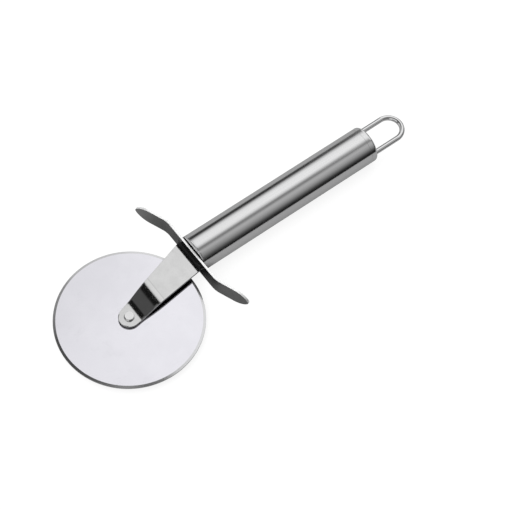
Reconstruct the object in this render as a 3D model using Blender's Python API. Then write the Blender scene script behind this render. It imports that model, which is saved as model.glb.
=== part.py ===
# Pizza cutter: a bevelled wheel on a riveted sheet arm, a finger guard, and a tube handle
# with two drawn caps and a wire hanging loop.
#
# Frame: metres, +Z up. The cutter lies on its side, with the wheel parallel to the ground.
# X runs from the wheel to the hanging loop along the handle, Y across it.
# The ground plane touches the lowest line of the tube, and the origin is in the middle
# of the overall length and width.
import math

import bmesh
import bpy
from mathutils import Matrix, Vector

# Cutting wheel
wheel_radius = 0.034
wheel_thickness = 0.0010
wheel_bevel_width = 0.0013
wheel_edge_thickness = 0.00012
wheel_side_offset = 0.0075
wheel_drop = 0.0052

# Axle rivet and its two washers
shank_radius = 0.0015
rivet_head_radius = 0.0025
rivet_head_height = 0.0011
rivet_head_chamfer = 0.0004
rivet_tail_radius = 0.0024
rivet_tail_height = 0.0008
washer_radius = 0.0034
washer_thickness = 0.0003

# Sheet arm that carries the wheel
arm_sheet = 0.0010
ear_radius = 0.0050
ear_bend_reach = 0.0046
ear_bend_radius = 0.0190
joggle_run = 0.00872
joggle_rise = 0.00178
plate_bend_radius = 0.0270
arm_half_width = 0.0085
weld_length = 0.0011
weld_height = 0.0014

# Finger guard
guard_wheel_gap = 0.0050
guard_sheet = 0.0010
guard_half_length = 0.0346
guard_half_height = 0.0050
guard_tip_length = 0.0066
guard_tip_fullness = 1.65
guard_bend_offset = 0.0185
guard_bend_radius = 0.0120
guard_wing_angle = math.radians(22)

# Tube handle and its caps
tube_radius = 0.00892
tube_wall = 0.0008
tube_length = 0.0956
cap_wall = 0.0008
cap_spigot_length = 0.0050
front_cap_rim = 0.0010
front_cap_edge_radius = 0.0004
rear_cap_rim = 0.0033
rear_cap_edge_radius = 0.0012

# Hanging loop
loop_wire_radius = 0.00125
loop_edge_inset = 0.00262
loop_leg_length = 0.0134
loop_leg_inside = 0.0040

# Clearances
seat_gap = 0.0002
running_clearance = 0.0001
shank_clearance = 0.0001
wire_clearance = 0.0002

# Modelling aids
cut_overrun = 0.0040
merge_distance = 0.000001
sharp_angle = math.radians(32)

# Facets
wheel_steps = 120
tube_steps = 72
rivet_steps = 36
arc_steps = 8
ear_steps = 28
loop_steps = 26

# Positions along the handle, from the wheel's axis
plate_bend_reach = ear_bend_reach + joggle_run
guard_reach = wheel_radius + guard_wheel_gap
arm_end = guard_reach - seat_gap
guard_middle = guard_reach + guard_sheet / 2
front_cap_start = guard_reach + guard_sheet + seat_gap
tube_start = front_cap_start + front_cap_rim + seat_gap
tube_end = tube_start + tube_length
rear_cap_start = tube_end + seat_gap
rear_cap_end = rear_cap_start + rear_cap_rim
loop_bend_radius = tube_radius - loop_edge_inset
loop_bend_start = rear_cap_end + loop_leg_length
loop_end = loop_bend_start + loop_bend_radius + loop_wire_radius

# Heights, from the handle's axis
wheel_level = -wheel_drop
wheel_top = wheel_level + wheel_thickness / 2
wheel_bottom = wheel_level - wheel_thickness / 2
upper_washer_bottom = wheel_top + running_clearance
ear_bottom = upper_washer_bottom + washer_thickness + running_clearance
ear_middle = ear_bottom + arm_sheet / 2
ear_top = ear_bottom + arm_sheet
plate_middle = ear_middle + joggle_rise
weld_bottom = plate_middle + arm_sheet / 2
weld_top = weld_bottom + weld_height
lower_washer_bottom = wheel_bottom - running_clearance - washer_thickness
rivet_tail_top = lower_washer_bottom - running_clearance

# Overall size, which places the origin
wheel_side = -wheel_side_offset
widest_side = max(guard_half_length, wheel_side_offset + wheel_radius)
frame_x = (wheel_radius - loop_end) / 2
frame_y = (widest_side - guard_half_length) / 2
frame_z = tube_radius


def clear_scene():
    for item in list(bpy.data.objects):
        bpy.data.objects.remove(item, do_unlink=True)


def steel(name, colour, roughness):
    material = bpy.data.materials.new(name)
    material.use_nodes = True
    shader = material.node_tree.nodes["Principled BSDF"]
    shader.inputs["Base Color"].default_value = (*colour, 1.0)
    shader.inputs["Metallic"].default_value = 1.0
    shader.inputs["Roughness"].default_value = roughness
    return material


def add_object(name, bm, material, parent, location=(0, 0, 0)):
    bmesh.ops.recalc_face_normals(bm, faces=bm.faces)
    mesh = bpy.data.meshes.new(name)
    bm.to_mesh(mesh)
    bm.free()
    mesh.shade_smooth()
    mesh.set_sharp_from_angle(angle=sharp_angle)
    item = bpy.data.objects.new(name, mesh)
    bpy.context.scene.collection.objects.link(item)
    item.location = location
    item.parent = parent
    if material is not None:
        mesh.materials.append(material)
    return item


def turned(profile, steps, axis):
    # Spins a profile of (along, radius) points about an axis through the local origin.
    side = Vector((0, 1, 0)) if axis.x else Vector((1, 0, 0))
    bm = bmesh.new()
    ring = [bm.verts.new(axis * along + side * radius) for along, radius in profile]
    closed = all(radius > 0 for along, radius in profile)
    edges = [bm.edges.new(pair) for pair in zip(ring, ring[1:])]
    if closed:
        edges.append(bm.edges.new((ring[-1], ring[0])))
    bmesh.ops.spin(
        bm, geom=ring + edges, cent=(0, 0, 0), axis=axis, angle=2 * math.pi, steps=steps,
        use_merge=True, use_normal_flip=False, use_duplicate=False)
    bmesh.ops.remove_doubles(bm, verts=bm.verts, dist=merge_distance)
    return bm


def prism(outline, start, depth):
    # Extrudes a closed outline of 3-D points from start along depth.
    bm = bmesh.new()
    face = bm.faces.new([bm.verts.new(Vector(point) + start) for point in outline])
    grown = bmesh.ops.extrude_face_region(bm, geom=[face])
    corners = [part for part in grown["geom"] if isinstance(part, bmesh.types.BMVert)]
    bmesh.ops.translate(bm, verts=corners, vec=depth)
    return bm


def cutter(name, bm, target, operation):
    # Adds a hidden cutting shape to the target as a Boolean.
    shape = add_object(name, bm, None, target.parent, target.location)
    shape.hide_render = True
    shape.display_type = "WIRE"
    change = target.modifiers.new(name, "BOOLEAN")
    change.operation = operation
    change.solver = "EXACT"
    change.object = shape
    return shape


def bent_path(corners, radii):
    # Rounds each inner corner of a flat path, and returns its points with their normals.
    corners = [Vector(corner) for corner in corners]
    first = (corners[1] - corners[0]).normalized()
    path = [(corners[0], Vector((-first.y, first.x)))]
    for before, corner, after, radius in zip(corners, corners[1:], corners[2:], radii):
        arriving = (corner - before).normalized()
        leaving = (after - corner).normalized()
        turn = math.atan2(arriving.cross(leaving), arriving.dot(leaving))
        start = corner - arriving * radius * math.tan(abs(turn) / 2)
        side = Vector((-arriving.y, arriving.x))
        centre = start + side * math.copysign(radius, turn)
        for step in range(arc_steps + 1):
            spin = Matrix.Rotation(turn * step / arc_steps, 2)
            path.append((centre + spin @ (start - centre), spin @ side))
    last = (corners[-1] - corners[-2]).normalized()
    path.append((corners[-1], Vector((-last.y, last.x))))
    return path


def strip_outline(path, thickness):
    # Gives a bent path the sheet's thickness.
    left = [point + normal * thickness / 2 for point, normal in path]
    right = [point - normal * thickness / 2 for point, normal in path]
    return left + right[::-1]


def rounded_edge(along, radius, edge_radius, direction):
    # Quarter round from the face of a cap to its side, as (along, radius) points.
    points = []
    for step in range(arc_steps + 1):
        angle = math.pi / 2 * step / arc_steps
        points.append((
            along + direction * edge_radius * (1 - math.sin(angle)),
            radius - edge_radius * (1 - math.cos(angle))))
    return points


def make_cutting_wheel(material, parent):
    half = wheel_thickness / 2
    edge = wheel_edge_thickness / 2
    bore = shank_radius + shank_clearance
    flat = wheel_radius - wheel_bevel_width
    profile = [(-half, bore), (-half, flat), (-edge, wheel_radius)]
    profile += [(edge, wheel_radius), (half, flat), (half, bore)]
    bm = turned(profile, wheel_steps, Vector((0, 0, 1)))
    return add_object("cutting_wheel", bm, material, parent, (0, wheel_side, wheel_level))


def make_axle_rivet(material, parent):
    # One piece: a flat chamfered head over the ear, the shank, and the peened tail.
    head_bottom = ear_top + running_clearance
    head_top = head_bottom + rivet_head_height
    profile = [(head_top, 0), (head_top, rivet_head_radius - rivet_head_chamfer)]
    profile += [(head_top - rivet_head_chamfer, rivet_head_radius)]
    profile += [(head_bottom, rivet_head_radius), (head_bottom, shank_radius)]
    profile += [(rivet_tail_top, shank_radius)]
    for step in range(arc_steps):
        angle = math.pi / 2 * step / arc_steps
        drop = rivet_tail_height * math.sin(angle)
        profile.append((rivet_tail_top - drop, rivet_tail_radius * math.cos(angle)))
    profile.append((rivet_tail_top - rivet_tail_height, 0))
    profile = [(level - wheel_level, radius) for level, radius in profile]
    bm = turned(profile, rivet_steps, Vector((0, 0, 1)))
    return add_object("axle_rivet", bm, material, parent, (0, wheel_side, wheel_level))


def make_washer(name, bottom, material, parent):
    bore = shank_radius + shank_clearance
    profile = [(0, bore), (0, washer_radius)]
    profile += [(washer_thickness, washer_radius), (washer_thickness, bore)]
    bm = turned(profile, rivet_steps, Vector((0, 0, 1)))
    return add_object(name, bm, material, parent, (0, wheel_side, bottom))


def tangent_angle(corner, centre, radius, side):
    # Angle on a circle where the straight edge from an outside corner touches it.
    away = corner - centre
    return math.atan2(away.y, away.x) + side * math.acos(radius / away.length)


def make_bracket_arm(material, parent):
    # Sheet strip seen from the side: ear, joggle, plate, and the weld's fillet at the guard.
    corners = [(-ear_radius - cut_overrun, ear_middle), (ear_bend_reach, ear_middle)]
    corners += [(plate_bend_reach, plate_middle), (arm_end, plate_middle)]
    path = bent_path(corners, [ear_bend_radius, plate_bend_radius])
    above = [(point + normal * arm_sheet / 2).to_tuple() for point, normal in path]
    below = [(point - normal * arm_sheet / 2).to_tuple() for point, normal in path]
    fillet = []
    for step in range(arc_steps + 1):
        angle = math.pi / 2 * step / arc_steps
        fillet.append((
            arm_end - weld_length * (1 - math.sin(angle)),
            weld_top - weld_height * math.cos(angle)))
    reach = wheel_side_offset + arm_half_width + cut_overrun
    outline = [(x, 0, z) for x, z in above[:-1] + fillet + below[::-1]]
    bm = prism(outline, Vector((0, -reach, 0)), Vector((0, 2 * reach, 0)))
    arm = add_object("bracket_arm", bm, material, parent)

    # Plan view: straight edges run from the corners at the guard to the round ear.
    ear = Vector((0, wheel_side))
    left = tangent_angle(Vector((arm_end, arm_half_width)), ear, ear_radius, 1)
    right = tangent_angle(Vector((arm_end, -arm_half_width)), ear, ear_radius, -1)
    right += 2 * math.pi
    plan = [(arm_end + cut_overrun, -arm_half_width)]
    plan += [(arm_end + cut_overrun, arm_half_width), (arm_end, arm_half_width)]
    for step in range(ear_steps + 1):
        angle = left + (right - left) * step / ear_steps
        plan.append((ear.x + ear_radius * math.cos(angle), ear.y + ear_radius * math.sin(angle)))
    plan.append((arm_end, -arm_half_width))
    tall = weld_top - ear_bottom + 2 * cut_overrun
    bm = prism([(x, y, 0) for x, y in plan], Vector((0, 0, ear_bottom - cut_overrun)),
               Vector((0, 0, tall)))
    cutter("arm_plan_cutter", bm, arm, "INTERSECT")

    hole = shank_radius + shank_clearance
    profile = [(-cut_overrun, 0), (-cut_overrun, hole), (cut_overrun, hole), (cut_overrun, 0)]
    bm = turned(profile, rivet_steps, Vector((0, 0, 1)))
    bmesh.ops.translate(bm, verts=bm.verts, vec=(0, wheel_side, ear_middle))
    cutter("arm_hole_cutter", bm, arm, "DIFFERENCE")
    return arm


def make_finger_guard(material, parent):
    # Plan view: a flat middle, one wing swept to the wheel and one to the hand.
    wing = guard_half_length + cut_overrun - guard_bend_offset
    sweep = wing * math.tan(guard_wing_angle)
    tip = guard_half_length + cut_overrun
    corners = [(guard_middle + sweep, -tip), (guard_middle, -guard_bend_offset)]
    corners += [(guard_middle, guard_bend_offset), (guard_middle - sweep, tip)]
    plan = strip_outline(bent_path(corners, [guard_bend_radius] * 2), guard_sheet)
    outline = [(point.x, point.y, 0) for point in plan]
    height = guard_half_height + cut_overrun
    bm = prism(outline, Vector((0, 0, -height)), Vector((0, 0, 2 * height)))
    guard = add_object("finger_guard", bm, material, parent)

    # End view: a strip with both tips rounded to a blunt point.
    centre = guard_half_length - guard_tip_length
    power = 2 / guard_tip_fullness
    end_view = []
    for side, first in ((1, -math.pi / 2), (-1, math.pi / 2)):
        for step in range(2 * arc_steps + 1):
            angle = first + math.pi * step / (2 * arc_steps)
            across, up = math.cos(angle), math.sin(angle)
            end_view.append((
                side * centre + math.copysign(abs(across) ** power, across) * guard_tip_length,
                math.copysign(abs(up) ** power, up) * guard_half_height))
    reach = sweep + guard_sheet
    bm = prism([(0, y, z) for y, z in end_view], Vector((guard_middle - reach, 0, 0)),
               Vector((2 * reach, 0, 0)))
    cutter("guard_end_cutter", bm, guard, "INTERSECT")
    return guard


def make_handle_tube(material, parent):
    inner = tube_radius - tube_wall
    profile = [(0, inner), (0, tube_radius), (tube_length, tube_radius), (tube_length, inner)]
    bm = turned(profile, tube_steps, Vector((1, 0, 0)))
    return add_object("handle_tube", bm, material, parent, (tube_start, 0, 0))


def cap_profile(rim, edge_radius, spigot_side):
    # A drawn cup: round-edged face, flush rim, and a spigot that fits inside the tube.
    # The face is at the local origin, and spigot_side says which way the spigot runs.
    spigot = tube_radius - tube_wall - seat_gap
    inside = spigot - cap_wall
    depth = rim + seat_gap + cap_spigot_length
    profile = [(0, 0)]
    profile += rounded_edge(0, tube_radius, edge_radius, 1)[::-1]
    profile += [(rim, tube_radius), (rim, spigot), (depth, spigot), (depth, inside)]
    profile += [(cap_wall, inside), (cap_wall, 0)]
    return [(spigot_side * along, radius) for along, radius in profile]


def make_front_cap(material, parent):
    profile = cap_profile(front_cap_rim, front_cap_edge_radius, 1)
    bm = turned(profile, tube_steps, Vector((1, 0, 0)))
    return add_object("front_cap", bm, material, parent, (front_cap_start, 0, 0))


def make_rear_cap(material, parent):
    profile = cap_profile(rear_cap_rim, rear_cap_edge_radius, -1)
    bm = turned(profile, tube_steps, Vector((1, 0, 0)))
    cap = add_object("rear_cap", bm, material, parent, (rear_cap_end, 0, 0))
    hole = loop_wire_radius + wire_clearance
    for name, side in (("left", 1), ("right", -1)):
        depth = cap_wall + cut_overrun
        profile = [(-depth, 0), (-depth, hole), (cut_overrun, hole), (cut_overrun, 0)]
        bm = turned(profile, rivet_steps, Vector((1, 0, 0)))
        bmesh.ops.translate(bm, verts=bm.verts, vec=(0, side * loop_bend_radius, 0))
        cutter("loop_hole_cutter_" + name, bm, cap, "DIFFERENCE")
    return cap


def make_hanging_loop(material, parent):
    # Round wire: two legs through the rear cap, joined by a half-circle.
    start = rear_cap_end - cap_wall - loop_leg_inside
    route = [(start, loop_bend_radius)]
    for step in range(loop_steps + 1):
        angle = math.pi / 2 - math.pi * step / loop_steps
        route.append((
            loop_bend_start + loop_bend_radius * math.cos(angle),
            loop_bend_radius * math.sin(angle)))
    route.append((start, -loop_bend_radius))
    curve = bpy.data.curves.new("hanging_loop", "CURVE")
    curve.dimensions = "3D"
    curve.bevel_depth = loop_wire_radius
    curve.bevel_resolution = 4
    curve.use_fill_caps = True
    curve.materials.append(material)
    wire = curve.splines.new("POLY")
    wire.points.add(len(route) - 1)
    wire.use_smooth = True
    for point, (x, y) in zip(wire.points, route):
        point.co = (x, y, 0, 1)
    loop = bpy.data.objects.new("hanging_loop", curve)
    bpy.context.scene.collection.objects.link(loop)
    loop.parent = parent
    return loop


def main():
    clear_scene()
    frame = bpy.data.objects.new("cutter_frame", None)
    bpy.context.scene.collection.objects.link(frame)
    frame.location = (frame_x, frame_y, frame_z)

    blade = steel("polished blade steel", (0.78, 0.78, 0.80), 0.08)
    bracket = steel("polished bracket steel", (0.63, 0.63, 0.63), 0.10)
    guard = steel("satin guard steel", (0.37, 0.37, 0.37), 0.12)
    handle = steel("brushed handle steel", (0.79, 0.79, 0.79), 0.14)
    chrome = steel("bright wire steel", (0.88, 0.88, 0.88), 0.05)

    make_cutting_wheel(blade, frame)
    make_axle_rivet(bracket, frame)
    make_washer("upper_washer", upper_washer_bottom, bracket, frame)
    make_washer("lower_washer", lower_washer_bottom, bracket, frame)
    make_bracket_arm(bracket, frame)
    make_finger_guard(guard, frame)
    make_front_cap(handle, frame)
    make_handle_tube(handle, frame)
    make_rear_cap(handle, frame)
    make_hanging_loop(chrome, frame)


main()
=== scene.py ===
import math

import bmesh
import bpy
from mathutils import Matrix, Vector


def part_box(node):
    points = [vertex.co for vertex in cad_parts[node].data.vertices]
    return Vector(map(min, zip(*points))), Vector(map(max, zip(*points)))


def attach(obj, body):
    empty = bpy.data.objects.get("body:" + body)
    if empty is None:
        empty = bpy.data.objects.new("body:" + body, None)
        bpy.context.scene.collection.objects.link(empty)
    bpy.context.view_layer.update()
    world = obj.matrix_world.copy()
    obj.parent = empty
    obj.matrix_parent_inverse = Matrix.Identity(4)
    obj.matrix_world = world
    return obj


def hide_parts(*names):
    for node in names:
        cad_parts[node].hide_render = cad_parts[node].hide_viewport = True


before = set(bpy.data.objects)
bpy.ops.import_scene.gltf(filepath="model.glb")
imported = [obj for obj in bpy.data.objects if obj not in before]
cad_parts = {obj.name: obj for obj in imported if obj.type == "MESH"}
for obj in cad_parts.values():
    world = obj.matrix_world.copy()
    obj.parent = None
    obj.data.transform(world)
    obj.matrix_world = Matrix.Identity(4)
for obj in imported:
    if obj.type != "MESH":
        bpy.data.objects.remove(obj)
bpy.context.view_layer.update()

MM = 0.001

# The cutter's own axes start at home: x runs along the handle from the wheel's middle, y is
# across the handle, and z is up from the handle's axis.
tube_low, tube_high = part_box("handle_tube")
wheel_low, wheel_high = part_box("cutting_wheel")
front_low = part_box("front_cap")[0]
rear_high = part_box("rear_cap")[1]
loop_low, loop_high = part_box("hanging_loop")
arm_low, arm_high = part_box("bracket_arm")
home = Vector((
    (wheel_low.x + wheel_high.x) / 2,
    (tube_low.y + tube_high.y) / 2,
    (tube_low.z + tube_high.z) / 2))
tube_radius = (tube_high.y - tube_low.y) / 2
wheel_radius = (wheel_high.x - wheel_low.x) / 2
wheel_side = (wheel_low.y + wheel_high.y) / 2 - home.y
wheel_level = (wheel_low.z + wheel_high.z) / 2 - home.z

# The wheel
wheel_thickness = 1.0 * MM
wheel_bevel = 1.15 * MM
wheel_edge = 0.56 * MM
wheel_bevel_rounding = 0.5 * MM
wheel_edge_rounding = 0.04 * MM
wheel_bevel_margin = 0.05 * MM
wheel_steps = 288
bore_radius = 1.6 * MM

# The rivet and its washers. Radii run from the head's flat top down to the tail's end.
rivet_top_radius = 1.96 * MM
rivet_cone_radius = 2.10 * MM
rivet_head_radius = 2.44 * MM
rivet_shank_radius = 1.5 * MM
rivet_tail_radius = 2.4 * MM
rivet_end_radius = 1.9 * MM
rivet_top_rounding = 0.08 * MM
rivet_head_rounding = 0.05 * MM
rivet_tail_rounding = 0.15 * MM
rivet_end_rounding = 0.55 * MM
rivet_head_gap = 0.06 * MM
rivet_tail_gap = 0.05 * MM
washer_radius = 3.4 * MM
washer_rounding = 0.08 * MM
small_steps = 96

# The sheet of the arm and the guard
sheet = 1.0 * MM
sheet_rounding = 0.08 * MM
sheet_rounding_steps = 4
sheet_columns = 10
row_step = 1.2 * MM
row_least_step = 0.02 * MM
round_end_rows = 16

# The arm: its ear, joggle, tapered plate and slight bow
ear_radius = 5.0 * MM
ear_bend = 4.6 * MM
ear_bend_radius = 19.0 * MM
plate_bend = 13.32 * MM
plate_bend_radius = 27.0 * MM
joggle_rise = 1.78 * MM
arm_half_width = 8.57 * MM
arm_side_shift = 0.78 * MM
arm_bow_start = 34.4 * MM
arm_bow_radius = 60.0 * MM
arm_bow_tilt = math.radians(0.5)
arm_end_rows = 0.3 * MM

# Painted reflections on the plate, along x from where they start: a painted highlight band and
# a fine painted dark line.
# A pair is where a soft edge starts and ends.
painted_reflection_start = 15.4 * MM
highlight_start, highlight_end = (-0.3 * MM, 0.0), (1.3 * MM, 1.5 * MM)
dark_line_start, dark_line_end = (1.3 * MM, 1.6 * MM), (1.8 * MM, 2.1 * MM)

# The weld between the arm and the guard
weld_length = 0.14 * MM
weld_height = 1.4 * MM
weld_lift = 1.5 * MM
weld_end_gap = 0.15 * MM
weld_climb_start = 3.8 * MM
weld_climb_length = 4.4 * MM
weld_ripple = 0.02 * MM
weld_ripple_turn = 4.0 / MM
weld_sink = 0.03 * MM
weld_crest = 0.1 * MM
weld_clearance = 0.02 * MM
weld_columns = 96
weld_steps = 10

# The guard
guard_reach = 39.0 * MM
guard_half_length = 34.6 * MM
guard_half_height = 5.0 * MM
guard_tip_length = 7.1 * MM
guard_tip_fullness = 1.65
guard_bend = 18.5 * MM
guard_bend_radius = 12.0 * MM
guard_bend_steps = 20
guard_wing_angle = math.radians(22)

# The handle's tube and caps. A shoulder is the curve from a cap's flat face to its side.
handle_wall = 0.8 * MM
tube_growth = 0.17 * MM
tube_rounding = 0.05 * MM
spigot_length = 5.0 * MM
spigot_gap = 0.2 * MM
cap_face_margin = 0.1 * MM
cap_steps = 14
front_shoulder = {"rim": 0.8 * MM, "along": 0.20 * MM, "across": 0.45 * MM}
front_face_setback = 0.2 * MM
rear_shoulder = {"rim": 3.3 * MM, "along": 1.3 * MM, "across": 1.2 * MM}
handle_steps = 240

# The hanging loop
wire_radius = 1.25 * MM
loop_radius = 6.3 * MM
loop_leg_steps = 13
loop_bend_steps = 48
wire_steps = 40

# Levels of the floor: what it reflects, what the camera sees and what metal sees.
floor_shade = 0.20
floor_shown = 0.86
floor_mirrored = 0.19
floor_size = 3.0
floor_drop = 0.00002

# Strips of the floor that metal sees. Each changes between two places, on y for the first two
# and on x past the guard for the last, and the first two give the levels there.
far_strip = (0.018, 0.046, 0.0, 1.1)
near_strip = (-0.018, -0.010, 0.45, 0.0)
handle_strip = (home.x + 0.042, home.x + 0.050)
# Past this edge metal sees the floor almost black: a painted dark patch in the reflections.
dark_patch_edge = -0.055
dark_patch_softness = 0.012
dark_patch_level = 0.012

# The studio by direction: x is along the handle, y across it, z up, and tilt is the angle in
# degrees round the handle. A pair is where a soft edge starts and ends, and four numbers are a
# band's low and high ends and how soft each is.
tilt_levels = (
    (-90, 0.02), (-84, 0.045), (-78, 0.09), (-71, 0.165), (-64, 0.26), (-57, 0.34),
    (-50, 0.415), (-43, 0.47), (-36, 0.50), (-29, 0.42), (-23, 0.26), (-19, 0.235),
    (-14, 0.29), (-9, 0.52), (-4, 0.74), (2, 0.91), (8, 0.97), (16, 0.99), (34, 0.95),
    (41, 0.88), (47, 0.74), (54, 0.50), (60, 0.20), (65, 0.05), (72, 0.03), (77, 0.045),
    (82, 0.17), (87, 0.40), (90, 0.46))
wheel_end_x, wheel_end_level = (0.17, 0.26), 0.93
dimmed_tilt, dimmed_x, dimmed_level = (22.4, 25.4), (0.245, 0.275), 0.92
box_end_x, box_end_level = (0.60, 0.86), 0.50
corner_x, corner_tilt = (0.44, 0.80, 0.04, 0.10), (-14.0, 78.0, 10.0, 6.0)
corner_level = 0.92
gap_edge = (0.150, 0.178)
gap_lean, gap_lean_y, gap_lean_least_y = 0.13, 0.386, -0.35
gap_turn_y = (0.0, 0.14)
gap_low_side = (0.38, 0.58, 0.15, 0.45)
gap_high_side = (0.22, 0.36, 0.17, 0.010)
side_x, side_y, side_level = (-0.36, -0.325), (0.10, 0.50, 0.06, 0.1), 0.20
lower_wall_y, lower_wall_level = (0.45, 0.62), 0.28
low_wall_y, low_wall_level = (0.62, 0.85), 0.40
pale_x, pale_y, pale_level = (-0.18, -0.09, 0.03, 0.06), (0.25, 0.45, 0.15, 0.08), 0.092
far_wall_y, far_wall_level = (-0.72, -0.55), 0.15
low_box_near_y, low_box_far_y = (0.20, 0.28), (0.46, 0.54)
low_box_x, low_box_level = (-0.64, -0.55), 0.80
above_x, above_y, above_level = (-0.12, 0.0, 0.05, 0.05), (-0.04, 0.06, 0.05, 0.06), 0.42

# The lamp
lamp_strength = 2.1
lamp_width = math.radians(70)
lamp_lean = math.radians(-14)

# The photograph's camera. Its place is from home.
photo_width = 510
camera_lens = 125.49
camera_sensor = 36
camera_shift = 0.5 / photo_width
camera_range = (0.01, 20)
camera_place = Vector((-0.183710, -0.311596, 0.702802))
camera_right = Vector((0.7983225, -0.6015884, 0.0277949))
camera_up = Vector((0.5177180, 0.7091385, 0.4786342))
camera_back = Vector((-0.3076512, -0.3677146, 0.8775743))

# Points closer than this are one, and a smaller radius is none.
same_point = 1e-7
no_radius = 1e-9


def make_object(name, bm, slot, body, *nodes, sharp):
    """Makes a piece that rides on body and replaces nodes. Edges over sharp degrees stay."""
    bmesh.ops.remove_doubles(bm, verts=bm.verts, dist=same_point)
    bmesh.ops.dissolve_degenerate(bm, dist=same_point, edges=bm.edges)
    bmesh.ops.recalc_face_normals(bm, faces=bm.faces)
    mesh = bpy.data.meshes.new(name)
    bm.to_mesh(mesh)
    bm.free()
    mesh.shade_smooth()
    mesh.set_sharp_from_angle(angle=math.radians(sharp))
    item = bpy.data.objects.new(name, mesh)
    bpy.context.scene.collection.objects.link(item)
    smooth = item.modifiers.new("flat faces stay flat", "WEIGHTED_NORMAL")
    smooth.mode = "FACE_AREA"
    smooth.weight = 100
    smooth.keep_sharp = True
    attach(item, body)
    if nodes:
        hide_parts(*nodes)
    return item


def turned(profile, steps, axis, centre):
    """Spins (along, radius) points about an axis through centre.

    A profile that doesn't touch the axis is closed into a ring."""
    along_x = axis == "x"
    bm = bmesh.new()
    rings = []
    for along, radius in profile:
        if radius < no_radius:
            spot = Vector((along, 0, 0)) if along_x else Vector((0, 0, along))
            rings.append([bm.verts.new(centre + spot)] * steps)
            continue
        ring = []
        for step in range(steps):
            angle = 2 * math.pi * step / steps
            a, b = radius * math.cos(angle), radius * math.sin(angle)
            spot = Vector((along, a, b)) if along_x else Vector((a, b, along))
            ring.append(bm.verts.new(centre + spot))
        rings.append(ring)
    pairs = list(zip(rings, rings[1:]))
    if all(radius > no_radius for along, radius in profile):
        pairs.append((rings[-1], rings[0]))
    for one, two in pairs:
        for step in range(steps):
            after = (step + 1) % steps
            corners = [one[step], one[after], two[after], two[step]]
            unique = list(dict.fromkeys(corners))
            if len(unique) > 2:
                bm.faces.new(unique)
    return bm


def skin(bm, loops):
    """Joins each closed loop of corners to the next. Gives the new faces."""
    faces = []
    for one, two in zip(loops, loops[1:]):
        for index in range(len(one)):
            after = (index + 1) % len(one)
            faces.append(bm.faces.new((one[index], one[after], two[after], two[index])))
    return faces


def close_ends(bm, loops):
    bm.faces.new(loops[0])
    bm.faces.new(loops[-1][::-1])


def rounded_corner(before, corner, after, radius, steps):
    """Points of the arc that rounds one corner of a flat line, each with the line's normal."""
    before, corner, after = Vector(before), Vector(corner), Vector(after)
    arriving = (corner - before).normalized()
    leaving = (after - corner).normalized()
    turn = math.atan2(arriving.x * leaving.y - arriving.y * leaving.x, arriving.dot(leaving))
    start = corner - arriving * radius * math.tan(abs(turn) / 2)
    side = Vector((-arriving.y, arriving.x))
    centre = start + side * math.copysign(radius, turn)
    spots = []
    for step in range(steps + 1):
        spin = Matrix.Rotation(turn * step / steps, 2)
        spots.append((centre + spin @ (start - centre), spin @ side))
    return spots


def rounded_profile(points, radii, closed=True, steps=5):
    """A profile with each corner rounded by its own radius."""
    result = []
    count = len(points)
    for index, (point, radius) in enumerate(zip(points, radii)):
        if radius <= 0 or (not closed and index in (0, count - 1)):
            result.append(point)
            continue
        before, after = points[index - 1], points[(index + 1) % count]
        arc = rounded_corner(before, point, after, radius, steps)
        result += [tuple(spot) for spot, normal in arc]
    return result


class Path:
    """A flat bent line, with round bends, that gives its point and normal at a length."""

    def __init__(self, corners, radii, steps=14):
        corners = [Vector(corner) for corner in corners]
        first = (corners[1] - corners[0]).normalized()
        self.spots = [(corners[0], Vector((-first.y, first.x)))]
        for before, corner, after, radius in zip(corners, corners[1:], corners[2:], radii):
            self.spots += rounded_corner(before, corner, after, radius, steps)
        last = (corners[-1] - corners[-2]).normalized()
        self.spots.append((corners[-1], Vector((-last.y, last.x))))
        self.lengths = [0.0]
        for (one, _), (two, _) in zip(self.spots, self.spots[1:]):
            self.lengths.append(self.lengths[-1] + (two - one).length)

    def at(self, length):
        index = 0
        while index < len(self.lengths) - 2 and length > self.lengths[index + 1]:
            index += 1
        span = self.lengths[index + 1] - self.lengths[index]
        part = (length - self.lengths[index]) / span if span > 0 else 0
        (one, normal_one), (two, normal_two) = self.spots[index], self.spots[index + 1]
        return one.lerp(two, part), normal_one.lerp(normal_two, part).normalized()


def stations(start, end, bends, start_round, end_round):
    """Lengths for the rows of a sheet: dense at round ends and at bends."""
    rows = set()
    for index in range(round_end_rows + 1):
        part = 1 - math.cos(math.pi / 2 * index / round_end_rows)
        rows.add(start + start_round * part)
        rows.add(end - end_round * part)
    rows |= {length for length in bends if start < length < end}
    spare = start + start_round
    while spare < end - end_round:
        rows.add(spare)
        spare += row_step
    rows = sorted(rows)
    kept = [rows[0]]
    for row in rows[1:]:
        if row - kept[-1] > row_least_step:
            kept.append(row)
    kept[-1] = end
    return kept


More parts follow.
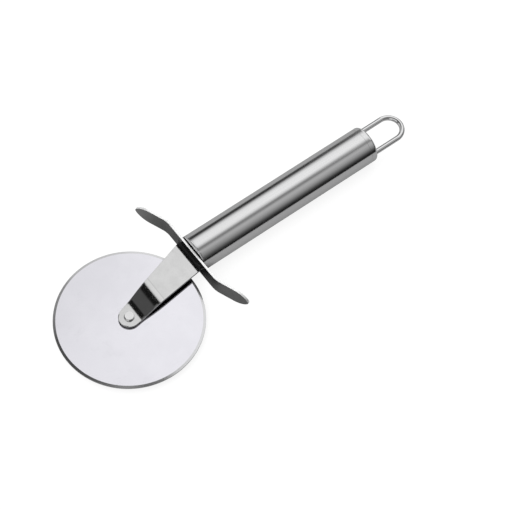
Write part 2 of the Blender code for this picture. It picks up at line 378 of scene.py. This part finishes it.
def sheet_piece(path, start, end, rows, reach, place, edge_material=0):
    """A bent sheet with rounded edges.

    reach(length, inset, side) gives how far a side, 1 or -1, stands out at a length of the
    path, and place(spot, side) puts a point of the path's plane in the scene."""
    bm = bmesh.new()
    rings = []
    for index in range(sheet_rounding_steps + 1):
        angle = math.pi / 2 * index / sheet_rounding_steps
        inset = sheet_rounding * (1 - math.sin(angle))
        rings.append((inset, sheet / 2 - sheet_rounding * (1 - math.cos(angle))))
    rings += [(inset, -height) for inset, height in reversed(rings)]

    def corner(length, side, height):
        point, normal = path.at(length)
        return bm.verts.new(place(point + normal * height, side))

    def inner(length, inset):
        part = (length - start) / (end - start)
        return start + inset + part * (end - start - 2 * inset)

    def columns(length, inset, side, height, indices):
        """Corners from one side of the sheet towards the other, at one length."""
        edge, other = reach(length, inset, side), reach(length, inset, -side)
        return [
            corner(length, edge + (other - edge) * index / sheet_columns, height)
            for index in indices]

    loops = []
    between = range(1, sheet_columns)
    for inset, height in rings:
        lengths = [inner(row, inset) for row in rows]
        loop = [corner(length, reach(length, inset, 1), height) for length in lengths]
        loop += columns(inner(end, inset), inset, 1, height, between)
        loop += [
            corner(length, reach(length, inset, -1), height) for length in reversed(lengths)]
        loop += columns(inner(start, inset), inset, -1, height, between)
        loops.append(loop)
    for face in skin(bm, loops):
        face.material_index = edge_material
    for inset, height in (rings[0], rings[-1]):
        grid = [
            columns(inner(row, inset), inset, 1, height, range(sheet_columns + 1))
            for row in rows]
        for one, two in zip(grid, grid[1:]):
            for index in range(sheet_columns):
                bm.faces.new((one[index], one[index + 1], two[index + 1], two[index]))
    return bm


def build_wheel(body):
    half, rim = wheel_thickness / 2, wheel_edge / 2
    flat = wheel_radius - wheel_bevel
    points = [(-half, bore_radius), (-half, flat), (-rim, wheel_radius)]
    points += [(rim, wheel_radius), (half, flat), (half, bore_radius)]
    radii = [0, wheel_bevel_rounding, wheel_edge_rounding]
    centre = home + Vector((0, wheel_side, wheel_level))
    bm = turned(rounded_profile(points, radii + radii[::-1]), wheel_steps, "z", centre)
    limit = flat - wheel_bevel_margin
    for face in bm.faces:
        if min((vert.co - centre).xy.length for vert in face.verts) > limit:
            face.material_index = 1
    return make_object("wheel_blade", bm, "blade_steel", body, "cutting_wheel", sharp=50)


def build_rivet(body):
    low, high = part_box("axle_rivet")
    low, high = low.z - home.z, high.z - home.z
    head = arm_low.z - home.z + sheet + rivet_head_gap
    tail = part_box("lower_washer")[0].z - home.z - rivet_tail_gap
    corners = (
        (high, 0, 0),
        (high, rivet_top_radius, 0),
        (high, rivet_cone_radius, rivet_top_rounding),
        (head, rivet_head_radius, rivet_head_rounding),
        (head, rivet_shank_radius, 0),
        (tail, rivet_shank_radius, 0),
        (tail, rivet_tail_radius, rivet_tail_rounding),
        (low, rivet_end_radius, rivet_end_rounding),
        (low, 0, 0))
    points = [(along, radius) for along, radius, rounding in corners]
    radii = [rounding for along, radius, rounding in corners]
    profile = rounded_profile(points, radii, closed=False)
    bm = turned(profile, small_steps, "z", home + Vector((0, wheel_side, 0)))
    return make_object("rivet_head", bm, "bracket_steel", body, "axle_rivet", sharp=40)


def build_washer(name, node, body):
    low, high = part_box(node)
    low, high = low.z - home.z, high.z - home.z
    points = [(low, bore_radius), (low, washer_radius)]
    points += [(high, washer_radius), (high, bore_radius)]
    profile = rounded_profile(points, [0, washer_rounding, washer_rounding, 0])
    bm = turned(profile, small_steps, "z", home + Vector((0, wheel_side, 0)))
    return make_object(name, bm, "bracket_steel", body, node, sharp=40)


def build_arm(body):
    ear_middle = arm_low.z - home.z + sheet / 2
    plate_middle = ear_middle + joggle_rise
    arm_end = arm_high.x - home.x
    bow = (arm_end - arm_bow_start) * math.tan(arm_bow_tilt)
    corners = [(-ear_radius, ear_middle), (ear_bend, ear_middle)]
    corners += [(plate_bend, plate_middle), (arm_bow_start, plate_middle)]
    corners += [(arm_end, plate_middle + bow)]
    path = Path(corners, [ear_bend_radius, plate_bend_radius, arm_bow_radius])
    start, end = 0.0, path.lengths[-1]
    ear = Vector((0, wheel_side))

    def edge_line(side):
        """The straight side: its corner at the guard, where it meets the ear's circle, and
        the direction from the ear's middle to there."""
        corner = Vector((arm_end, arm_side_shift + side * arm_half_width))
        away = corner - ear
        angle = math.atan2(away.y, away.x) + side * math.acos(ear_radius / away.length)
        outward = Vector((math.cos(angle), math.sin(angle)))
        return corner, ear + outward * ear_radius, outward

    lines = {side: edge_line(side) for side in (1, -1)}

    def reach(length, inset, side):
        corner, touch, outward = lines[side]
        x = path.at(length)[0].x
        shrunk = ear_radius - inset
        if x < outward.x * shrunk:
            return ear.y + side * math.sqrt(max(shrunk ** 2 - x ** 2, 0))
        run = corner - touch
        return touch.y + (x - touch.x) * run.y / run.x - inset / outward.y

    def place(spot, side):
        return home + Vector((spot.x, side, spot.y))

    rows = stations(start, end, path.lengths, 2 * ear_radius, arm_end_rows)
    bm = sheet_piece(path, start, end, rows, reach, place)
    return make_object("arm_sheet", bm, "bracket_steel", body, "bracket_arm", sharp=60)


def build_weld(body):
    """The fillet between the arm's end and the guard. It climbs the guard at both ends."""
    plate_top = arm_high.z - home.z - weld_height
    foot = arm_high.x - home.x - weld_length
    back = guard_reach - weld_clearance
    bm = bmesh.new()
    rings = []
    for index in range(weld_columns + 1):
        y = (arm_half_width - weld_end_gap) * (1 - 2 * index / weld_columns)
        climb = min(max((abs(y) - weld_climb_start) / weld_climb_length, 0), 1)
        rise = weld_height + weld_lift * climb * climb
        rise += weld_ripple * math.sin(y * weld_ripple_turn)
        ring = [(foot, plate_top - weld_sink)]
        for step in range(weld_steps + 1):
            angle = math.pi / 2 * step / weld_steps
            ring.append((
                foot + (guard_reach - foot - weld_crest) * math.sin(angle),
                plate_top + weld_sink + rise * (1 - math.cos(angle))))
        ring.append((back, plate_top + rise + weld_sink + weld_crest))
        ring.append((back, plate_top - weld_sink))
        side = y + arm_side_shift
        rings.append([bm.verts.new(home + Vector((x, side, z))) for x, z in ring])
    skin(bm, rings)
    close_ends(bm, rings)
    return make_object("arm_weld", bm, "bracket_steel", body, sharp=50)


def build_guard(body):
    middle = guard_reach + sheet / 2
    wing = guard_half_length - guard_bend
    sweep = wing * math.tan(guard_wing_angle)
    corners = [(middle + sweep, -guard_half_length), (middle, -guard_bend)]
    corners += [(middle, guard_bend), (middle - sweep, guard_half_length)]
    path = Path(corners, [guard_bend_radius] * 2, steps=guard_bend_steps)
    slack = sheet / 2 * math.sin(guard_wing_angle)
    start, end = slack, path.lengths[-1] - slack

    def reach(length, inset, side):
        near = min(length - start, end - length)
        shrunk = guard_half_height - inset
        over = (guard_tip_length - near) / (guard_tip_length - inset)
        if over <= 0:
            return side * shrunk
        rest = max(1 - min(over, 1) ** guard_tip_fullness, 0)
        return side * shrunk * rest ** (1 / guard_tip_fullness)

    def place(spot, side):
        return home + Vector((spot.x, spot.y, side))

    rows = stations(start, end, path.lengths, guard_tip_length, guard_tip_length)
    bm = sheet_piece(path, start, end, rows, reach, place, edge_material=1)
    return make_object("guard_strip", bm, "guard_steel", body, "finger_guard", sharp=60)


def build_tube(body):
    start = tube_low.x - home.x - tube_growth
    end = tube_high.x - home.x + tube_growth
    inner = tube_radius - handle_wall
    points = [(start, inner), (start, tube_radius), (end, tube_radius), (end, inner)]
    profile = rounded_profile(points, [0, tube_rounding, tube_rounding, 0])
    bm = turned(profile, handle_steps, "x", home)
    return make_object("grip_tube", bm, "handle_steel", body, "handle_tube", sharp=40)


def cap_profile(face, way, shoulder):
    """A drawn cap as (along, radius): the face, an elliptic shoulder, the side, the spigot.

    way is 1 where the cap runs from its face towards +x, and -1 where it runs back."""
    inner = tube_radius - handle_wall - spigot_gap
    flat = tube_radius - shoulder["across"] - cap_face_margin
    rim = face + way * shoulder["rim"]
    deep = rim + way * spigot_length
    floor = face + way * handle_wall
    points = [(face, 0), (face, flat)]
    for index in range(cap_steps + 1):
        angle = math.pi / 2 * index / cap_steps
        points.append((
            face + way * shoulder["along"] * (1 - math.cos(angle)),
            tube_radius - shoulder["across"] * (1 - math.sin(angle))))
    points += [(rim, tube_radius), (rim, inner), (deep, inner)]
    points += [(deep, inner - handle_wall), (floor, inner - handle_wall), (floor, 0)]
    return points


def build_front_cap(body):
    face = front_low.x - home.x + front_face_setback
    bm = turned(cap_profile(face, 1, front_shoulder), handle_steps, "x", home)
    return make_object("front_plug", bm, "handle_steel", body, "front_cap", sharp=40)


def build_rear_cap(body):
    face = rear_high.x - home.x
    bm = turned(cap_profile(face, -1, rear_shoulder), handle_steps, "x", home)
    return make_object("rear_plug", bm, "handle_steel", body, "rear_cap", sharp=40)


def build_loop(body):
    start = loop_low.x - home.x
    bend = loop_high.x - home.x - loop_radius - wire_radius
    leg = bend - start
    quarter = math.pi / 2
    spots = [
        (start + leg * index / loop_leg_steps, loop_radius, quarter)
        for index in range(loop_leg_steps)]
    for index in range(loop_bend_steps + 1):
        angle = quarter - math.pi * index / loop_bend_steps
        x, y = loop_radius * math.cos(angle), loop_radius * math.sin(angle)
        spots.append((bend + x, y, angle))
    spots += [
        (bend - leg * (index + 1) / loop_leg_steps, -loop_radius, -quarter)
        for index in range(loop_leg_steps)]
    bm = bmesh.new()
    rings = []
    for x, y, angle in spots:
        middle = home + Vector((x, y, 0))
        outward = Vector((math.cos(angle), math.sin(angle), 0))
        ring = []
        for step in range(wire_steps):
            turn = 2 * math.pi * step / wire_steps
            away = outward * math.cos(turn) + Vector((0, 0, math.sin(turn)))
            ring.append(bm.verts.new(middle + away * wire_radius))
        rings.append(ring)
    skin(bm, rings)
    close_ends(bm, rings)
    return make_object("loop_wire", bm, "wire_steel", body, "hanging_loop", sharp=60)


class Nodes:
    """Short names for building a node tree."""

    def __init__(self, tree):
        self.tree = tree

    def add(self, kind, **values):
        node = self.tree.nodes.new(kind)
        for name, value in values.items():
            setattr(node, name, value)
        return node

    def link(self, source, target):
        """Joins a socket to another, or sets it to a plain value."""
        if isinstance(source, (int, float, tuple)):
            target.default_value = source
        else:
            self.tree.links.new(source, target)

    def math(self, operation, *inputs):
        node = self.add("ShaderNodeMath", operation=operation)
        for socket, value in zip(node.inputs, inputs):
            self.link(value, socket)
        return node.outputs[0]

    def product(self, one, two):
        return self.math("MULTIPLY", one, two)

    def total(self, one, two):
        return self.math("ADD", one, two)

    def ramp(self, value, low, high, to_low=0.0, to_high=1.0, kind="SMOOTHSTEP"):
        """to_low up to low, to_high from high on, and a soft change between them."""
        node = self.add("ShaderNodeMapRange", interpolation_type=kind)
        for name, entry in (
                ("Value", value), ("From Min", low), ("From Max", high),
                ("To Min", to_low), ("To Max", to_high)):
            self.link(entry, node.inputs[name])
        return node.outputs["Result"]

    def fade(self, value, low, high):
        return self.ramp(value, low, high, 1.0, 0.0)

    def spread(self, noise, to_low, to_high):
        """The middle part of a noise, spread over a range."""
        return self.ramp(noise, 0.3, 0.7, to_low, to_high)

    def band(self, value, low, high, soft_low, soft_high):
        """1 between low and high, with a soft end outside each."""
        rise = self.ramp(value, low - soft_low, low)
        return self.product(rise, self.fade(value, high, high + soft_high))

    def blend(self, fac, one, two):
        node = self.add("ShaderNodeMix", data_type="FLOAT")
        for name, entry in (("Factor", fac), ("A", one), ("B", two)):
            self.link(entry, node.inputs[name])
        return node.outputs["Result"]

    def tint(self, fac, dark, light):
        """A colour between two. Each is a colour's socket, three numbers or one grey."""
        node = self.add("ShaderNodeMix", data_type="RGBA")
        self.link(fac, node.inputs["Factor"])
        for name, shade in (("A", dark), ("B", light)):
            if isinstance(shade, float):
                shade = (shade, shade, shade)
            if isinstance(shade, tuple):
                shade = (*shade, 1.0)
            self.link(shade, node.inputs[name])
        return node.outputs["Result"]

    def noise(self, vector, scale=1.0, detail=3.0, roughness=0.5):
        node = self.add("ShaderNodeTexNoise")
        self.link(vector, node.inputs["Vector"])
        node.inputs["Scale"].default_value = scale
        node.inputs["Detail"].default_value = detail
        node.inputs["Roughness"].default_value = roughness
        return node.outputs["Fac"]

    def stretch(self, vector, scale, shift=(0, 0, 0), turn=0.0):
        node = self.add("ShaderNodeMapping")
        self.link(vector, node.inputs["Vector"])
        node.inputs["Location"].default_value = shift
        node.inputs["Rotation"].default_value = (0, 0, turn)
        node.inputs["Scale"].default_value = scale
        return node.outputs["Vector"]

    def parts(self, vector):
        node = self.add("ShaderNodeSeparateXYZ")
        self.link(vector, node.inputs[0])
        return tuple(node.outputs)

    def joined(self, x, y, z):
        node = self.add("ShaderNodeCombineXYZ")
        for socket, value in zip(node.inputs, (x, y, z)):
            self.link(value, socket)
        return node.outputs[0]

    def distance(self, x, y):
        return self.math("SQRT", self.total(self.product(x, x), self.product(y, y)))

    def bump(self, height, strength, distance=0.01 * MM):
        node = self.add("ShaderNodeBump")
        self.link(height, node.inputs["Height"])
        node.inputs["Strength"].default_value = strength
        node.inputs["Distance"].default_value = distance
        return node.outputs["Normal"]

    def scratches(self, place, scale, seeds, width):
        """Sparse fine scratches. Each seed is a direction in degrees and a shift."""
        field = None
        for degrees, shift in seeds:
            turned_place = self.stretch(
                place, (scale * 0.045, scale, scale), (shift, shift * 0.37, 0),
                math.radians(degrees))
            noise = self.noise(turned_place, detail=2.0, roughness=0.45)
            middle = self.math("ABSOLUTE", self.math("SUBTRACT", noise, 0.5))
            gate = self.noise(place, scale * 0.11 + shift, detail=1.0)
            mark = self.product(self.fade(middle, 0.0, width), self.ramp(gate, 0.56, 0.66))
            field = mark if field is None else self.math("MAXIMUM", field, mark)
        return field


def new_steel(name):
    material = bpy.data.materials.new(name)
    material.use_nodes = True
    shader = material.node_tree.nodes["Principled BSDF"]
    shader.inputs["Metallic"].default_value = 1.0
    kit = Nodes(material.node_tree)
    place = kit.add("ShaderNodeTexCoord").outputs["Object"]
    return material, kit, shader, place


def finish_steel(kit, shader, colour, rough, normal):
    kit.link(colour, shader.inputs["Base Color"])
    kit.link(rough, shader.inputs["Roughness"])
    kit.link(normal, shader.inputs["Normal"])


def wheel_polar(kit, place):
    """Radius and angle round the wheel's axle."""
    node = kit.add("ShaderNodeVectorMath", operation="SUBTRACT")
    kit.link(place, node.inputs[0])
    node.inputs[1].default_value = home + Vector((0, wheel_side, wheel_level))
    x, y, _ = kit.parts(node.outputs[0])
    return kit.distance(x, y), kit.math("ARCTAN2", y, x)


def blade_material():
    """Polished steel with very fine turning marks and a few scratches."""
    material, kit, shader, place = new_steel("polished blade steel")
    radius, angle = wheel_polar(kit, place)
    round_grain = kit.joined(kit.product(radius, 5200.0), kit.product(angle, 1.2), 0.0)
    rings = kit.noise(round_grain, detail=2.0)
    cloud = kit.noise(place, scale=90.0, detail=4.0, roughness=0.55)
    marks = kit.scratches(place, 1500.0, ((18, 0.3), (71, 1.7), (128, 3.1)), 0.012)
    colour = kit.tint(
        kit.spread(cloud, 0.0, 1.0), (0.820, 0.812, 0.862), (0.850, 0.842, 0.892))
    rough = kit.total(kit.spread(cloud, 0.045, 0.070), kit.product(marks, 0.10))
    finish_steel(kit, shader, colour, rough, kit.bump(rings, 0.010))
    return material


def bevel_material():
    """Steel ground across the bevel."""
    material, kit, shader, place = new_steel("ground bevel steel")
    radius, angle = wheel_polar(kit, place)
    cross_grain = kit.joined(kit.product(radius, 350.0), kit.product(angle, 190.0), 0.0)
    grind = kit.noise(cross_grain, roughness=0.6)
    colour = kit.tint(grind, (0.70, 0.70, 0.71), (0.80, 0.80, 0.81))
    finish_steel(kit, shader, colour, kit.spread(grind, 0.12, 0.20), kit.bump(grind, 0.10))
    return material


def bracket_material(name, dark, light):
    """Polished sheet steel, with a painted highlight band closed by a fine painted dark line.
    """
    material, kit, shader, place = new_steel(name)
    grain = kit.noise(kit.stretch(place, (240, 3600, 3600)), roughness=0.55)
    cloud = kit.noise(place, scale=210.0, detail=4.0, roughness=0.6)
    marks = kit.scratches(place, 1900.0, ((8, 0.9), (97, 2.3)), 0.014)
    colour = kit.tint(kit.spread(cloud, 0.0, 1.0), dark, light)
    along = kit.math("SUBTRACT", kit.parts(place)[0], home.x + painted_reflection_start)
    painted_highlight = kit.product(kit.ramp(along, *highlight_start), kit.fade(along, *highlight_end))
    line = kit.product(kit.ramp(along, *dark_line_start), kit.fade(along, *dark_line_end))
    # Painted highlight band and painted dark line: lighter and darker colour at a set place
    # along x.
    colour = kit.tint(kit.product(painted_highlight, 0.35), colour, 0.76)
    colour = kit.tint(kit.product(line, 0.5), colour, 0.52)
    rough = kit.total(kit.spread(grain, 0.065, 0.105), kit.product(marks, 0.05))
    finish_steel(kit, shader, colour, rough, kit.bump(grain, 0.004))
    return material


def weld_material():
    """A bead with a fine ripple, painted almost black as shade in the corner between the arm
    and the guard.
    """
    material, kit, shader, place = new_steel("weld bead with painted shade")
    ripple = kit.noise(kit.stretch(place, (600, 2400, 600)), roughness=0.55)
    cloud = kit.noise(place, scale=420.0, roughness=0.6)
    # Painted shade: the bead's colour is almost black.
    colour = kit.tint(
        kit.ramp(cloud, 0.35, 0.75), (0.03, 0.03, 0.031), (0.075, 0.072, 0.07))
    normal = kit.bump(ripple, 0.25, distance=0.03 * MM)
    finish_steel(kit, shader, colour, kit.spread(ripple, 0.16, 0.30), normal)
    return material


def guard_material():
    """Satin steel brushed along the guard, its colour darkened as painted shade for the shaded
    floor that it reflects.
    """
    material, kit, shader, place = new_steel("satin guard steel")
    grain = kit.noise(kit.stretch(place, (3000, 260, 3000)), roughness=0.55)
    cloud = kit.noise(place, scale=160.0, detail=4.0, roughness=0.6)
    # Painted shade: a dark grey, darker than the steel itself.
    colour = kit.tint(kit.spread(cloud, 0.0, 1.0), 0.30, 0.34)
    finish_steel(kit, shader, colour, kit.spread(grain, 0.07, 0.12), kit.bump(grain, 0.03))
    return material


def sheared_material():
    """The guard's rough cut edge, painted nearly white as a highlight."""
    material, kit, shader, place = new_steel("guard edge with painted highlight")
    lines = kit.noise(kit.stretch(place, (1500, 1500, 5200)), roughness=0.6)
    # Painted highlight: nearly white, and half matt below so that the top lamp lights it.
    colour = kit.tint(lines, 0.96, 1.0)
    finish_steel(kit, shader, colour, kit.spread(lines, 0.20, 0.30), kit.bump(lines, 0.05))
    shader.inputs["Metallic"].default_value = 0.5
    return material


def handle_material():
    """Steel brushed along the handle, with a long and a fine grain."""
    material, kit, shader, place = new_steel("brushed handle steel")
    long_grain = kit.noise(kit.stretch(place, (22, 2600, 2600)), roughness=0.6)
    fine_grain = kit.noise(kit.stretch(place, (90, 9000, 9000), (3, 7, 1)), detail=2.0)
    both = kit.total(kit.product(long_grain, 0.6), kit.product(fine_grain, 0.4))
    cloud = kit.noise(place, scale=70.0)
    colour = kit.tint(
        kit.ramp(both, 0.35, 0.65), (0.765, 0.765, 0.77), (0.82, 0.82, 0.825))
    rough = kit.total(kit.spread(both, 0.105, 0.155), kit.spread(cloud, -0.015, 0.015))
    finish_steel(kit, shader, colour, rough, kit.bump(both, 0.05))
    return material


def wire_material():
    """Bright drawn wire."""
    material, kit, shader, place = new_steel("bright wire steel")
    grain = kit.noise(kit.stretch(place, (400, 3000, 3000)), detail=2.0)
    colour = kit.tint(grain, (0.81, 0.81, 0.815), (0.85, 0.85, 0.852))
    finish_steel(kit, shader, colour, kit.spread(grain, 0.025, 0.05), kit.bump(grain, 0.02))
    return material


def floor_material():
    """A pale floor. Metal sees it as dim glowing strips, painted light, and as a painted dark
    patch beyond them.
    """
    material = bpy.data.materials.new("pale floor")
    material.use_nodes = True
    material.node_tree.nodes.clear()
    kit = Nodes(material.node_tree)
    matt = kit.add("ShaderNodeBsdfDiffuse")
    matt.inputs["Color"].default_value = (floor_shade, floor_shade, floor_shade, 1)
    rays = kit.add("ShaderNodeLightPath").outputs
    metal_ray = kit.math("MAXIMUM", rays["Is Glossy Ray"], rays["Is Transmission Ray"])
    along, across, _ = kit.parts(kit.add("ShaderNodeNewGeometry").outputs["Position"])
    strips = kit.total(kit.ramp(across, *far_strip), kit.ramp(across, *near_strip))
    strips = kit.math("MAXIMUM", strips, kit.ramp(along, *handle_strip))
    mirrored = kit.product(strips, floor_mirrored)
    glow = kit.add("ShaderNodeEmission")
    level = kit.total(
        kit.product(rays["Is Camera Ray"], floor_shown), kit.product(metal_ray, mirrored))
    kit.link(level, glow.inputs["Strength"])
    both = kit.add("ShaderNodeAddShader")
    kit.link(matt.outputs[0], both.inputs[0])
    kit.link(glow.outputs[0], both.inputs[1])
    # Painted dark patch: metal sees the floor almost black past the edge.
    dark_patch = kit.product(metal_ray, kit.fade(across, dark_patch_edge - dark_patch_softness, dark_patch_edge))
    dark = kit.add("ShaderNodeEmission")
    dark.inputs["Strength"].default_value = dark_patch_level
    shown = kit.add("ShaderNodeMixShader")
    kit.link(dark_patch, shown.inputs[0])
    kit.link(both.outputs[0], shown.inputs[1])
    kit.link(dark.outputs[0], shown.inputs[2])
    out = kit.add("ShaderNodeOutputMaterial")
    kit.link(shown.outputs[0], out.inputs["Surface"])
    return material


def build_floor():
    bm = bmesh.new()
    for x, y in ((-1, -1), (1, -1), (1, 1), (-1, 1)):
        bm.verts.new((x * floor_size, y * floor_size, -floor_drop))
    bm.faces.new(bm.verts)
    mesh = bpy.data.meshes.new("studio_floor")
    bm.to_mesh(mesh)
    bm.free()
    mesh.materials.append(floor_material())
    floor = bpy.data.objects.new("studio_floor", mesh)
    bpy.context.scene.collection.objects.link(floor)


def bright_level(kit, x, tilt):
    """Level of the boxes: long ones along the handle, and one beyond its far corner."""
    ramp = kit.add("ShaderNodeValToRGB")
    stops = ramp.color_ramp.elements
    while len(stops) < len(tilt_levels):
        stops.new(0.5)
    for stop, (degrees, level) in zip(stops, tilt_levels):
        stop.position = (degrees + 90) / 180
        stop.color = (level, level, level, 1)
    kit.link(kit.ramp(tilt, -90.0, 90.0, kind="LINEAR"), ramp.inputs[0])
    level = kit.product(ramp.outputs[0], kit.ramp(x, *wheel_end_x, wheel_end_level, 1.0))
    dimmed = kit.product(kit.ramp(tilt, *dimmed_tilt), kit.fade(x, *dimmed_x))
    level = kit.product(level, kit.ramp(dimmed, 0.0, 1.0, 1.0, dimmed_level))
    level = kit.product(level, kit.ramp(x, *box_end_x, 1.0, box_end_level))
    corner = kit.product(kit.band(x, *corner_x), kit.band(tilt, *corner_tilt))
    return kit.blend(corner, level, corner_level)


def gap_level(kit, x, y):
    """Level of the dark side over the wheel, with its dim panels and two boxes."""
    away = kit.distance(x, y)
    level = kit.blend(
        kit.ramp(y, *gap_turn_y), kit.ramp(away, *gap_low_side),
        kit.ramp(away, *gap_high_side))
    side = kit.product(kit.fade(x, *side_x), kit.band(y, *side_y))
    level = kit.blend(side, level, side_level)
    level = kit.blend(kit.ramp(y, *lower_wall_y), level, lower_wall_level)
    level = kit.blend(kit.ramp(y, *low_wall_y), level, low_wall_level)
    pale = kit.product(kit.band(x, *pale_x), kit.band(y, *pale_y))
    level = kit.blend(pale, level, pale_level)
    level = kit.blend(kit.fade(y, *far_wall_y), level, far_wall_level)
    # A low box stands at the wheel's end, and a small one hangs right above.
    low_box = kit.math("MAXIMUM", kit.fade(y, *low_box_near_y), kit.ramp(y, *low_box_far_y))
    low_box = kit.product(low_box, kit.fade(x, *low_box_x))
    level = kit.blend(low_box, level, low_box_level)
    above = kit.product(kit.band(x, *above_x), kit.band(y, *above_y))
    return kit.blend(above, level, above_level)


def build_studio():
    """A soft studio all round: bright boxes overhead, and a dark gap over the wheel."""
    world = bpy.data.worlds.new("soft studio")
    bpy.context.scene.world = world
    world.use_nodes = True
    world.node_tree.nodes.clear()
    kit = Nodes(world.node_tree)
    x, y, z = kit.parts(kit.add("ShaderNodeTexCoord").outputs["Generated"])
    tilt = kit.product(kit.math("ARCTAN2", y, z), 180 / math.pi)
    # The gap starts at a slanting edge of the main box.
    lean = kit.math("SUBTRACT", kit.math("MAXIMUM", y, gap_lean_least_y), gap_lean_y)
    lean = kit.total(x, kit.product(lean, gap_lean))
    gap = kit.product(kit.fade(lean, *gap_edge), kit.math("GREATER_THAN", z, 0.0))
    level = kit.blend(gap, bright_level(kit, x, tilt), gap_level(kit, x, y))

    rays = kit.add("ShaderNodeLightPath").outputs
    back = kit.add("ShaderNodeBackground")
    back.inputs["Color"].default_value = (1, 1, 1, 1)
    kit.link(kit.blend(rays["Is Camera Ray"], level, 1.0), back.inputs["Strength"])
    out = kit.add("ShaderNodeOutputWorld")
    kit.link(back.outputs[0], out.inputs["Surface"])


def build_lamp():
    """A wide soft lamp from above for matt surfaces. Bright metal shows the studio instead."""
    data = bpy.data.lights.new("soft_top_lamp", "SUN")
    data.energy = lamp_strength
    data.angle = lamp_width
    lamp = bpy.data.objects.new("soft_top_lamp", data)
    lamp.rotation_euler = (lamp_lean, lamp_lean, 0)
    lamp.visible_glossy = False
    bpy.context.scene.collection.objects.link(lamp)


def build_camera():
    data = bpy.data.cameras.new("photo_camera")
    data.lens = camera_lens
    data.sensor_width = camera_sensor
    data.shift_x, data.shift_y = -camera_shift, camera_shift
    data.clip_start, data.clip_end = camera_range
    turn = Matrix((camera_right, camera_up, camera_back)).transposed().to_4x4()
    camera = bpy.data.objects.new("photo_camera", data)
    camera.matrix_world = Matrix.Translation(home + camera_place) @ turn
    bpy.context.scene.collection.objects.link(camera)
    bpy.context.scene.camera = camera


def main():
    build_camera()
    fixed, moving = "handle_body", "wheel_body"
    bracket = bracket_material("polished bracket steel", 0.645, 0.70)
    rivet = bracket_material("turned rivet steel", 0.76, 0.82)
    handle = handle_material()
    pieces = (
        (build_wheel(moving), blade_material(), bevel_material()),
        (build_rivet(fixed), rivet),
        (build_weld(fixed), weld_material()),
        (build_washer("washer_above", "upper_washer", fixed), bracket),
        (build_washer("washer_below", "lower_washer", fixed), bracket),
        (build_arm(fixed), bracket),
        (build_guard(fixed), guard_material(), sheared_material()),
        (build_front_cap(fixed), handle),
        (build_tube(fixed), handle),
        (build_rear_cap(fixed), handle),
        (build_loop(fixed), wire_material()))
    for piece, *materials in pieces:
        for material in materials:
            piece.data.materials.append(material)
    build_floor()
    build_studio()
    build_lamp()
    bpy.context.scene.view_settings.view_transform = "Standard"


main()
